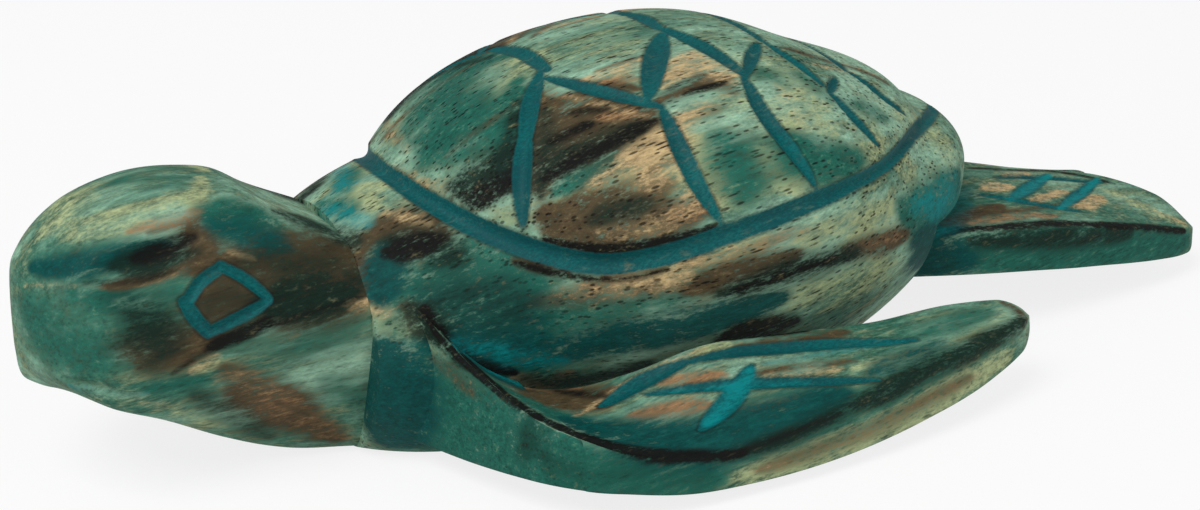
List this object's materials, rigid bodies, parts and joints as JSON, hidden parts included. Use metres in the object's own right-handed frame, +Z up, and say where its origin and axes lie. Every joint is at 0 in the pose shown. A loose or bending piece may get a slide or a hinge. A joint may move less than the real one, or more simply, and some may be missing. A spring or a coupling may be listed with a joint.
{
  "type": "turtle figurine",
  "caption": "Carved wooden sea turtle figurine with a scute-patterned shell and swept-back flippers, lying flat on its belly, in a blue-green washed finish.",
  "frame": {"origin": "in the plane of the flat belly, under the middle of the shell", "axes": "+Z up, -Y towards the head, +X to the turtle's left"},
  "size_m": [0.0728, 0.1432, 0.0382],
  "materials": {
    "washed_wood": "matte blue-green wash, rubbed back to brown wood",
    "dowel_wood": "bare"
  },
  "bodies": {
    "root": {"body": "washed_wood", "head_neck": "washed_wood", "front_flipper_left": "washed_wood", "front_flipper_right": "washed_wood", "rear_flipper_left": "washed_wood", "rear_flipper_right": "washed_wood", "neck_dowel_upper": "dowel_wood", "neck_dowel_lower": "dowel_wood", "front_flipper_dowel_left": "dowel_wood", "front_flipper_dowel_right": "dowel_wood", "rear_flipper_dowel_left": "dowel_wood", "rear_flipper_dowel_right": "dowel_wood"}
  },
  "joints": []
}
